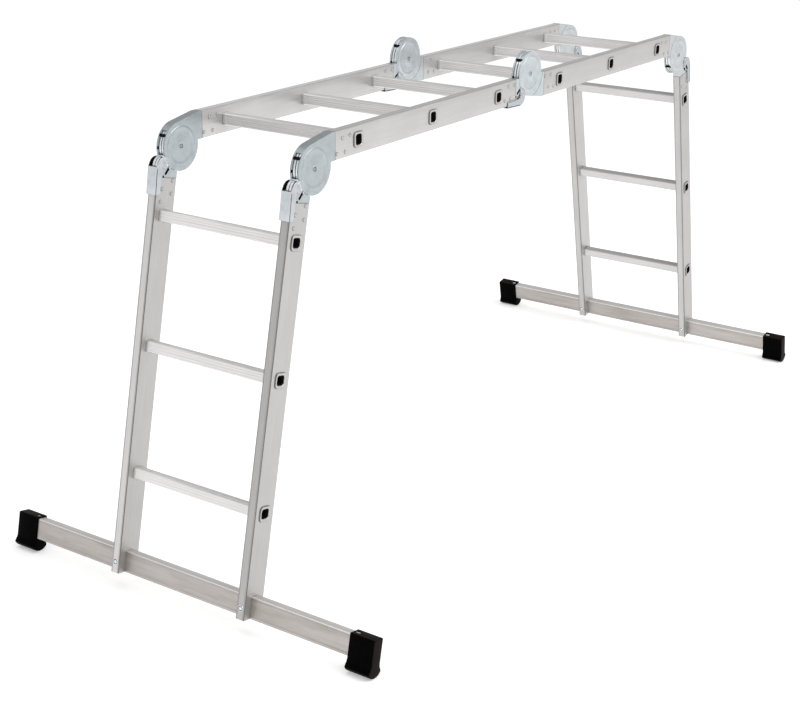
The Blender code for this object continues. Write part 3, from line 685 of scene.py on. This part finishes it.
far_leg_stile = stile_mesh(leg_stile_length, leg_notch(-1, leg_stile_length))
add_section("near_deck", near_deck, deck_stile, DECK_LOOKS, DECK_RUNG)
add_section("far_deck", far_deck, deck_stile, DECK_LOOKS, DECK_RUNG)
add_section("near_leg", near_leg, near_leg_stile, LEG_LOOKS, NEAR_RUNG)
add_section("far_leg", far_leg, far_leg_stile, FAR_LEG_LOOKS, FAR_RUNG)


# ---------------------------------------------------------------- rivets that hold the brackets


def add_rivets(name, section):
    """Four domed rivets through each stile's end, seen on both of its wide faces."""
    profile = [(-0.0005, 0.0044), (SKIN, 0.0044), (SKIN, 0.0036)]
    profile += [(0.0010, 0.0034), (0.0016, 0.0024), (0.0018, 0.0006)]
    # The ring at each rivet's foot takes painted shade
    dome = paint(lathe(profile, 16), lambda normal, centre: 1 if centre.y < 1.2 * SKIN else 0)
    other = moved_copy(dome, Matrix.Rotation(math.pi, 4, "X"))
    heads = []
    for _, y in SIDES:
        for u, v in RIVETS:
            for sign, head in ((1, dome), (-1, other)):
                where = (u, y * section.across.y + sign * HALF_T, v)
                heads.append(moved_copy(head, Matrix.Translation(where)))
    section.add(name, merged(heads, name), ["rivet", "groove"], sharp=50)


add_rivets("near_deck_rivets", near_deck)
add_rivets("near_deck_middle_rivets", near_deck_mid)
add_rivets("far_deck_middle_rivets", far_deck_mid)
add_rivets("far_deck_rivets", far_deck)
add_rivets("near_leg_rivets", near_leg)
add_rivets("far_leg_rivets", far_leg)


# ---------------------------------------------------------------- hinge locks

SHOULDER = 0.058
CLEAR_OPENING = math.radians(150)
OPENINGS = (0.0, math.pi / 2 + NEAR_LEAN, CLEAR_OPENING, math.pi)
RIM = (math.radians(134), math.radians(356.5))
NOTCH_HALF = 0.0090
HEEL = 0.0445
HEEL_HALF = 0.0064
MARK_DEPTH = 0.0004


def disc_outline():
    """The disc, its shoulder and the square end that meets the stile."""
    lower = math.asin(NEAR_EDGE / DISC)
    corner = Vector((SHOULDER, FAR_EDGE))
    tangent = math.atan2(corner.y, corner.x) + math.acos(DISC / corner.length)
    rim = arc((0, 0), DISC, tangent, 2 * math.pi + lower, 4)
    end = [Vector((BRACKET_END, NEAR_EDGE)), Vector((BRACKET_END, FAR_EDGE))]
    return rim + end + [corner]


def disc_bracket_mesh():
    """Two cheeks with locking notches in their rims, joined behind the core."""
    slot = arc((0, 0), 2 * DISC, *RIM) + arc((0, 0), CORE + 0.0006, RIM[1] - 2 * math.pi, RIM[0], 4)
    cuts = [prism(slot, -CHEEK_IN, CHEEK_IN)]
    for opening in OPENINGS:
        angle = -(opening + PIN_BEARING)
        notch = capsule(polar(DISC - 0.0030, angle), polar(2 * DISC, angle), 0.0033)
        cuts.append(prism(notch, -NOTCH_HALF, NOTCH_HALF))
    cuts.append(prism(ring((0, 0), 0.0054), -THROUGH, THROUGH))
    return cut(prism(disc_outline(), -HALF_T, HALF_T), cuts)


def cheek_face_mesh():
    """The pressed faces of the cheeks: a low ring, a dished middle and a small boss round the rivet."""
    profile = [
        (0.0000, 0.0436), (0.0004, 0.0431), (0.0007, 0.0420), (0.0009, 0.0400),
        (0.0008, 0.0380), (0.0006, 0.0362), (0.0003, 0.0348), (0.0002, 0.0338),
        (0.0002, 0.0110), (0.0004, 0.0100), (0.0004, 0.0090), (0.0002, 0.0080),
    ]
    return merged(lathe_pair([(HALF_T - SKIN + y, r) for y, r in profile], 72), "face")


def notch_fill_mesh():
    """Painted shade at the bottoms of the notches, in the cheeks and, but for the clear opening, between them.
    """
    parts = []
    for opening in OPENINGS:
        angle = -(opening + PIN_BEARING)
        if opening != CLEAR_OPENING:
            outline = arc((0, 0), CORE + 0.0022, angle - 0.062, angle + 0.062, 3)
            outline += arc((0, 0), CORE + 0.0005, angle + 0.062, angle - 0.062, 3)
            parts.append(prism(outline, -CHEEK_IN, CHEEK_IN))
        outline = arc((0, 0), CORE + 0.0020, angle - 0.058, angle + 0.058, 3)
        outline += arc((0, 0), CORE - 0.0030, angle + 0.045, angle - 0.045, 3)
        parts += both_sides(outline, CHEEK_IN, NOTCH_HALF - SKIN)
    return merged(parts, "notch_fill")


def seam_mesh():
    """A dark seam where the disc's outline crosses its bracket, on both faces."""
    centre, start, end = (0.004, 0), math.radians(5), math.radians(83)
    outline = arc(centre, 0.0555, start, end, 4) + arc(centre, 0.0545, end, start, 4)
    return merged(both_sides(outline, HALF_T - MARK_DEPTH, HALF_T + SKIN), "seam")


def in_slot(normal, centre):
    """Whether a face is a wall of the slot that the lock pin slides in. Those walls are painted with shade."""
    along, aside = polar(1, PIN_BEARING), polar(1, PIN_BEARING + math.pi / 2)
    where = Vector((centre.x, centre.z))
    return abs(normal.y) < 0.5 and abs(where.dot(aside)) < 0.0032 and 0.052 < where.dot(along) < 0.075


def lock_body_mesh():
    """The bracket's full-thickness end, with a narrower rounded heel between the lever's flanges."""
    inner = DISC + 0.0006
    start, end = math.asin(NEAR_EDGE / inner), math.acos(0.022 / inner)
    outline = list(reversed(arc((0, 0), inner, start, end, 4)))
    outline += [Vector((BRACKET_END, NEAR_EDGE)), Vector((BRACKET_END, FAR_EDGE))]
    outline += arc((0.044, FAR_EDGE - 0.022), 0.022, math.pi / 2, math.radians(160), 10)
    pin_slot = capsule(polar(0.0585, PIN_BEARING), polar(0.0712, PIN_BEARING), 0.0030)
    beside = [Vector((0, 0.051)), Vector((HEEL, 0.051)), Vector((HEEL, 0.1)), Vector((0, 0.1))]
    seam = [Vector((0.02, 0.055)), Vector((0.060, 0.055)), Vector((0.060, 0.1)), Vector((0.02, 0.1))]
    cuts = [prism(pin_slot, -THROUGH, THROUGH), *both_sides(beside, HEEL_HALF, THROUGH)]
    cuts.append(prism(seam, -0.0006, 0.0006))

    # Painted shade on the pin slot's walls and the heel's sides, and painted light on the heel's rim faces
    def look(normal, centre):
        if in_slot(normal, centre) or abs(normal.y) > 0.9 and abs(centre.y) < HEEL_HALF + 0.0002:
            return 1
        if centre.x > HEEL - 0.0005 and normal.x < -0.9 and centre.y**2 > HEEL_HALF**2:
            return 1
        return 2 if centre.x < HEEL and centre.z > 0.045 and abs(normal.y) < 0.5 else 0

    return paint(cut(prism(outline, -HALF_T, HALF_T), cuts), look)


def core_mesh():
    """The two inner plates, the neck that holds them and the hub between them."""
    neck = arc((0, 0), DISC + 0.004, math.radians(8), math.radians(42), 4)
    outline = neck + arc((0, 0), CORE, math.radians(42), math.radians(8) + 2 * math.pi, 4)
    slot = capsule(polar(PIN_ORBIT, PIN_BEARING), polar(PIN_ORBIT + PIN_STROKE, PIN_BEARING), 0.00295)
    blanks = both_sides(outline, 0.0011, CORE_HALF)
    plates = [cut(blank, [prism(slot, -THROUGH, THROUGH)]) for blank in blanks]
    made = merged(plates + [prism(ring((0, 0), 0.012, 32), -0.0012, 0.0012)], "core")
    # The plates take the painted light look and their slot walls painted shade
    return paint(made, lambda normal, centre: 1 if in_slot(normal, centre) else 0)


def trunnion_mesh():
    """The lever's pivot, with a small head on each face."""
    neck, head = 0.003, LEVER_OUT + 0.0003
    profile = [
        (HALF_T - 0.001, neck), (LEVER_OUT + 0.0002, neck), (head, 0.0042), (head + 0.0008, 0.0036),
        (head + 0.0010, 0.0018),
    ]
    return merged(lathe_pair(profile, 20, LEVER_PIVOT), "trunnion")


def anchor_mesh():
    """Dark discs painted as the shade in the holes that the springs hook into, one on each face."""
    profile = [(HALF_T - 0.001, 0.0027), (HALF_T + SKIN, 0.0027), (HALF_T + 0.00015, 0.0015)]
    return merged(lathe_pair(profile, 16, polar(0.0805, math.radians(35.0))), "anchor")


def lever_mesh():
    """A folded channel with a round lobe about its pivot and fingers that reach behind the pin."""
    top_v, tip_v, edge_v = FAR_EDGE + 0.0074, FAR_EDGE + 0.0045, FAR_EDGE - 0.0115
    lobe = 0.013
    sheet = 0.0015
    meet = math.asin((edge_v - LEVER_PIVOT.y) / lobe)
    finger = polar(PIN_ORBIT - 0.0044, PIN_BEARING)
    bearing = math.atan2(finger.y - LEVER_PIVOT.y, finger.x - LEVER_PIVOT.x)
    spread = math.asin(sheet / lobe)
    web_u, tip_u, top_u = 0.0465, 0.105, 0.038
    web_v = top_v - (web_u - top_u) / (tip_u - top_u) * (top_v - tip_v)
    outline = [Vector(p) for p in ((0.102, edge_v), (tip_u, edge_v + 0.003), (tip_u, tip_v), (web_u, web_v))]
    for share in (0.2, 0.4, 0.6, 0.8):
        angle = math.radians(90 + 60 * share)
        reach = (web_v - LEVER_PIVOT.y) * (1 - share) ** 1.2 + lobe * (1 - (1 - share) ** 1.2)
        outline.append(LEVER_PIVOT + polar(reach, angle - math.radians(18) * (1 - share)))
    outline += arc(LEVER_PIVOT, lobe, math.radians(150), bearing - spread + 2 * math.pi)
    outline += arc(finger, sheet, bearing - math.pi / 2, bearing + math.pi / 2, 20)
    outline += arc(LEVER_PIVOT, lobe, bearing + spread, meet)
    outline = [p - LEVER_PIVOT for p in outline]
    inside = [(0.12, tip_v - sheet), (web_u, web_v - sheet), (web_u, 0.2)]
    inside += [(-0.2, 0.2), (-0.2, -0.2), (0.12, -0.2)]
    inside = [Vector(p) - LEVER_PIVOT for p in inside]
    cuts = [prism(inside, -LEVER_IN, LEVER_IN), prism(ring((0, 0), 0.0033), -THROUGH, THROUGH)]

    # The inside of the channel takes painted shade and the web painted light
    def look(normal, centre):
        if abs(centre.y) < LEVER_IN + SKIN and (abs(normal.y) > 0.9 or normal.z < -0.5):
            return 1
        return 2 if normal.z > 0.9 else 0

    return paint(cut(prism(outline, -LEVER_OUT, LEVER_OUT), cuts), look)


def flange_marks(outlines, name):
    """Dark marks of painted shade on both flanges of a lever."""
    parts = []
    for outline in outlines:
        parts += both_sides([p - LEVER_PIVOT for p in outline], LEVER_OUT - MARK_DEPTH, LEVER_OUT + SKIN)
    return merged(parts, name)


def lever_slits_mesh():
    """Painted shade for a short open slit at the lever's head and a fine one along its flange."""
    head = capsule(Vector((0.046, 0.0445)), Vector((0.060, 0.0530)), 0.0013)
    fine = capsule(Vector((0.066, 0.0545)), Vector((0.101, 0.0545)), 0.0004)
    return flange_marks([head, fine], "lever_marks")


def lever_edge_mesh():
    """A line of painted shade on each flange, close under the web."""
    top, tip = Vector((0.050, FAR_EDGE + 0.0055)), Vector((0.104, FAR_EDGE + 0.0031))
    low = Vector((0, -0.0015))
    return flange_marks([[top + low, tip + low, tip, top]], "line")


def end_line_mesh():
    """Painted shade in the gap between a bracket and the stile that it plugs into."""
    outer, inner = stile_profile(-SKIN), stile_profile(0.0004)
    low, high = BRACKET_END, STILE_END + 0.0007
    ends = ((low, outer), (high, outer), (high, inner), (low, inner))
    return loft([[(u, p.x, p.y + MIDDLE) for p in shape] for u, shape in ends], closed=True)


def collar_mesh():
    """The raised collar round the lever's pivot on each flange."""
    profile = [(0, 0.0104), (0.0004, 0.0101), (0.0006, 0.0094)]
    profile += [(0.0005, 0.0084), (0.0002, 0.0076), (0, 0.0074)]
    return merged(lathe_pair([(LEVER_OUT - SKIN + y, r) for y, r in profile], 28), "washer")


def pivot_mesh():
    """The main pivot rivet: a low rim round a groove painted with shade and a small dome on each face."""
    half = [
        (0.0098, 0.0049), (HALF_T + 0.0003, 0.0066), (HALF_T + 0.0007, 0.0061), (HALF_T + 0.0006, 0.0050),
        (HALF_T + SKIN, 0.0034), (HALF_T + SKIN, 0.0026), (HALF_T + 0.0004, 0.0012),
    ]
    in_groove = (0.0031, 0.0046)

    def look(normal, centre):
        return 1 if in_groove[0] < math.hypot(centre.x, centre.z) < in_groove[1] else 0

    return paint(spindle(half, 24), look)


def pin_mesh():
    return spindle([(LEVER_OUT - 0.0004, PIN_RADIUS), (LEVER_OUT + 0.0002, 0.0021)], 20)


LOCK = {
    "cheeks": disc_bracket_mesh(),
    "face": cheek_face_mesh(),
    "body": lock_body_mesh(),
    "core": core_mesh(),
    "trunnion": trunnion_mesh(),
    "anchor": anchor_mesh(),
    "lever": lever_mesh(),
    "collar": collar_mesh(),
    "pivot": pivot_mesh(),
    "pin": pin_mesh(),
    "fill": notch_fill_mesh(),
    "line": lever_edge_mesh(),
    "end": end_line_mesh(),
    "seam": seam_mesh(),
    "slits": lever_slits_mesh(),
}


def add_lock(name, side, y, section, plate, marked):
    """The lock bracket with its core, and the lever and the pin that move in it."""
    bracket, looks = f"{name}_lock_bracket_{side}", [plate, "dark", "bright"]
    section.add(f"{name}_lock_body_{side}", LOCK["body"], looks, y, node=bracket, bevel=0.0004)
    section.add(f"{name}_core_plates_{side}", LOCK["core"], ["bright", "dark"], y, bevel=0.0003)
    section.add(f"{name}_trunnion_{side}", LOCK["trunnion"], ["pin"], y, sharp=50)
    section.add(f"{name}_spring_anchor_{side}", LOCK["anchor"], ["dark"], y)
    lever = f"{name}_release_lever_{side}"
    on_lever = {"y": y, "at": LEVER_PIVOT, "body": lever}
    section.add(f"{lever}_look", LOCK["lever"], ["lever", "dark", "web"], **on_lever, node=lever, bevel=0.0007)
    if marked:
        section.add(f"{lever}_slits", LOCK["slits"], ["dark"], **on_lever)
    section.add(f"{lever}_painted_shade_lines", LOCK["line"], ["dark"], **on_lever)
    section.add(f"{lever}_collars", LOCK["collar"], ["lever"], **on_lever, sharp=60)
    pin = f"{name}_lock_pin_{side}"
    section.add(f"{pin}_look", LOCK["pin"], ["pin"], y, polar(PIN_ORBIT, PIN_BEARING), body=pin, node=pin)


def add_hinge(name, disc_side, lock_side, plate="zinc", marked=True):
    """The left and right locks of a hinge. Marked ones have a seam on the disc and slits in the lever."""
    for side, y in SIDES:
        disc, rivet = f"{name}_disc_bracket_{side}", f"{name}_pivot_rivet_{side}"
        disc_side.add(f"{name}_cheeks_{side}", LOCK["cheeks"], [plate], y, node=disc, bevel=0.0005)
        disc_side.add(f"{name}_cheek_face_{side}", LOCK["face"], [plate], y, sharp=60)
        disc_side.add(f"{name}_notch_fill_{side}", LOCK["fill"], ["dark"], y)
        disc_side.add(f"{name}_disc_end_line_{side}", LOCK["end"], ["groove"], y)
        lock_side.add(f"{name}_lock_end_line_{side}", LOCK["end"], ["groove"], y)
        if marked:
            disc_side.add(f"{name}_seam_{side}", LOCK["seam"], ["groove"], y)
        disc_side.add(f"{name}_pivot_{side}", LOCK["pivot"], [plate, "groove"], y, node=rivet, sharp=60)
        add_lock(name, side, y, lock_side, plate, marked)


add_hinge("near_corner", near_deck, near_leg, marked=False)
add_hinge("middle", far_deck_mid, near_deck_mid, plate="painted_lit_mid_zinc")
add_hinge("far_corner", far_deck, far_leg, plate="painted_lit_far_zinc")


# ---------------------------------------------------------------- stabiliser bars and feet


def bar_mesh():
    """A stabiliser bar's tube, with its height along x here and lengthwise grooves in its front and back."""
    half_h, half_d = BAR_HEIGHT / 2, BAR_DEPTH / 2
    wall = 0.0016
    shape = rounded(half_h, half_d, 0.0020)
    inner = rounded(half_h - wall, half_d - wall, 0.0006)
    ends = ((-BAR_HALF, shape), (BAR_HALF, shape), (BAR_HALF, inner), (-BAR_HALF, inner))
    cuts = []
    for sign in (-1, 1):
        v = sign * half_d
        for at, wide, deep in ((half_h - 0.0068, 0.0005, 0.0006), (-half_h + 0.0052, 0.0004, 0.0005)):
            floor_v, over_v = v - sign * deep, v + sign * 0.002
            groove = [(at - wide, floor_v), (at + wide, floor_v), (at + wide, over_v), (at - wide, over_v)]
            cuts.append(prism(groove, -0.6, 0.6))

    # The top face takes the painted light and the rounded top edges the painted highlight
    def look(normal, centre):
        if centre.x > 0.0028 - half_h or abs(normal.y) > 0.5:
            return 0
        return 1 if abs(normal.x) > 0.95 else 2

    tube = loft([[(p.x, y, p.y) for p in s] for y, s in ends], closed=True)
    return paint(cut(tube, cuts), look)


def foot_mesh():
    """A rubber foot about the bar's middle; y runs outwards from the foot's inner face."""
    wall = 0.0033
    half = BAR_DEPTH / 2 + wall
    top = -BAR_HEIGHT / 2 - wall
    waist = BAR_HEIGHT / 2 + 0.0035
    wide, sole, radius = half + 0.0065, BAR_HEIGHT / 2 + 0.0313, 0.0252
    reach = math.asin(wide / radius)
    side = [(top, half), (waist, half), (waist + 0.006, half + 0.0012), (waist + 0.0105, half + 0.0042)]
    outline = [Vector(p) for p in side] + arc((sole - radius, 0), radius, reach, -reach, 8)
    outline += [Vector((u, -v)) for u, v in reversed(side)]
    body = soft_prism(round_corners(outline, 0.0028), 0, FOOT_LENGTH, 0.0022)
    socket = rounded(BAR_HEIGHT / 2 + GAP, BAR_DEPTH / 2 + GAP, 0.0022)
    clip_half, clip_floor, above = 0.0045, top + 0.0022, top - 0.01
    clip = [(above, -clip_half), (clip_floor, -clip_half), (clip_floor, clip_half), (above, clip_half)]
    cuts = [prism(socket, -0.02, FOOT_LENGTH - SOCKET_END), prism(clip, 0.004, 0.017)]

    # The top and end faces take the painted light rubber
    def look(normal, centre):
        on_floor = abs(centre.x - clip_floor) < SKIN
        if on_floor and abs(centre.z) < clip_half + SKIN and 0.003 < centre.y < 0.018:
            return 1
        return 2 if normal.y > 0.6 or normal.x < -0.8 else 0

    return paint(cut(body, cuts), look)


def bolt_mesh():
    """A domed head in a recess of its washer painted with shade, the shank through strip and bar, and a nut
    behind.
    """
    reach = BAR_SETBACK + BAR_DEPTH + 2 * GAP
    shank = 0.0039
    profile = [
        (0.0021, 0.0012), (0.0018, 0.0030), (0.0009, 0.0040), (0.0005, 0.0042), (0.0005, 0.0056),
        (0.0011, 0.0059), (0.0011, 0.0068), (0.0002, 0.0072), (0.0002, shank), (-reach - 0.006, shank),
    ]
    loops = [[(p.x, p.y, z) for p in ring((0, 0), r, 24)] for z, r in profile]
    head = loft(loops, slots=[0, 0, 1, 1, 1, 0, 0, 0, 0])
    nut = loft([[(p.x, p.y, z) for p in ring((0, 0), 0.0069, 6)] for z in (-reach, -reach - 0.0046)])
    return merged([head, nut], "bolt")


def add_stabiliser(name, leg, strip_side, meshes):
    """A leg's bar, with its feet and bolts, behind the strips of the leg's stiles."""
    middle = MIDDLE + strip_side * (STILE_DEPTH / 2 - BAR_SETBACK - BAR_DEPTH / 2)
    centre = (LEG_LENGTH - BAR_HEIGHT / 2, middle)
    bolt_at = (LEG_LENGTH - 0.025, MIDDLE + strip_side * STILE_DEPTH / 2)
    bar = f"{name}_stabiliser_bar"
    leg.add(f"{bar}_look", meshes["bar"], ["bar", "bar_painted_lit_top", "bar_painted_highlight"], 0, centre, node=bar, sharp=25)
    for side, sign in (("left", 1), ("right", -1)):
        foot, bolt = f"{name}_foot_{side}", f"{name}_foot_bolt_{side}"
        leg.add(
            f"{foot}_look",
            meshes["foot"],
            ["rubber", "clip", "rubber_painted_lit"],
            sign * (BAR_HALF + GAP + SOCKET_END - FOOT_LENGTH),
            centre,
            flip=leg.across.y * sign < 0,
            node=foot,
            sharp=40,
        )
        leg.add(
            f"{bolt}_look",
            meshes["bolt"],
            ["bright", "groove"],
            sign * STILE_Y,
            bolt_at,
            flip=strip_side < 0,
            node=bolt,
            sharp=50,
        )


STABILISER = {"bar": bar_mesh(), "foot": foot_mesh(), "bolt": bolt_mesh()}
add_stabiliser("near", near_leg, 1, STABILISER)
add_stabiliser("far", far_leg, -1, STABILISER)


# ---------------------------------------------------------------- floor, light and camera


def floor():
    """A white floor, lit a little by itself, just under the feet."""
    made, _, shader = nodes_of("studio_floor")
    shader.inputs["Base Color"].default_value = (0.93, 0.93, 0.93, 1)
    shader.inputs["Roughness"].default_value = 0.7
    shader.inputs["Emission Color"].default_value = (1, 1, 1, 1)
    shader.inputs["Emission Strength"].default_value = 0.30
    bm = bmesh.new()
    bmesh.ops.create_grid(bm, x_segments=1, y_segments=1, size=60)
    mesh = bpy.data.meshes.new("floor")
    bm.to_mesh(mesh)
    bm.free()
    plane = bpy.data.objects.new("floor", mesh)
    bpy.context.scene.collection.objects.link(plane)
    mesh.materials.append(made)
    plane.location.z = -0.0003


def lamp(name, where, size, power, target=(0, 0, 0.6)):
    """A rectangular lamp that faces the target."""
    data = bpy.data.lights.new(name, "AREA")
    data.shape = "RECTANGLE"
    data.size, data.size_y = size
    data.energy = power
    light = bpy.data.objects.new(name, data)
    bpy.context.scene.collection.objects.link(light)
    light.location = where
    light.rotation_mode = "QUATERNION"
    light.rotation_quaternion = (Vector(target) - Vector(where)).to_track_quat("-Z", "Y")


def studio():
    """White surroundings, grey toward one side, and two lamps."""
    world = bpy.data.worlds.new("studio")
    bpy.context.scene.world = world
    world.use_nodes = True
    tree = world.node_tree
    background = tree.nodes["Background"]
    where = new(tree, "ShaderNodeTexCoord")
    toward = new(tree, "ShaderNodeVectorMath", operation="DOT_PRODUCT")
    toward.inputs[1].default_value = Vector((0.78, 0.53, 0.36)).normalized()
    tree.links.new(where.outputs["Generated"], toward.inputs[0])
    stops = ((0.25, (1.0, 1.0, 1.0)), (1.0, (0.60, 0.60, 0.61)), (0.70, (0.76, 0.76, 0.765)))
    shade = ramp(tree, toward.outputs["Value"], stops)
    tree.links.new(shade, background.inputs["Color"])
    background.inputs["Strength"].default_value = 0.85
    lamp("key", (1.2, -4.5, 4.2), (3.5, 2.5), 150)
    lamp("top", (-1.5, 0.5, 5.0), (4.0, 3.0), 30)
    bpy.context.scene.view_settings.view_transform = "Standard"


def camera():
    """The photograph's camera, placed from the middle hinges' axis."""
    data = bpy.data.cameras.new("camera")
    data.sensor_width = 36
    data.lens = 69.125
    data.clip_end = 200
    thing = bpy.data.objects.new("camera", data)
    bpy.context.scene.collection.objects.link(thing)
    yaw, pitch, roll = 0.9759, -0.3551, 0.0084
    forward = Vector((math.cos(pitch) * math.sin(yaw), math.cos(pitch) * math.cos(yaw), math.sin(pitch)))
    right = Vector((math.cos(yaw), -math.sin(yaw), 0))
    up = right.cross(forward)
    tilted_right = right * math.cos(roll) + up * math.sin(roll)
    tilted_up = up * math.cos(roll) - right * math.sin(roll)
    matrix = Matrix((tilted_right, tilted_up, -forward)).transposed().to_4x4()
    from_axis = Vector((-3.2284, -2.0004, 0.6844 - MIDDLE))
    matrix.translation = mid + from_axis
    thing.matrix_world = matrix
    bpy.context.scene.camera = thing


floor()
studio()
camera()
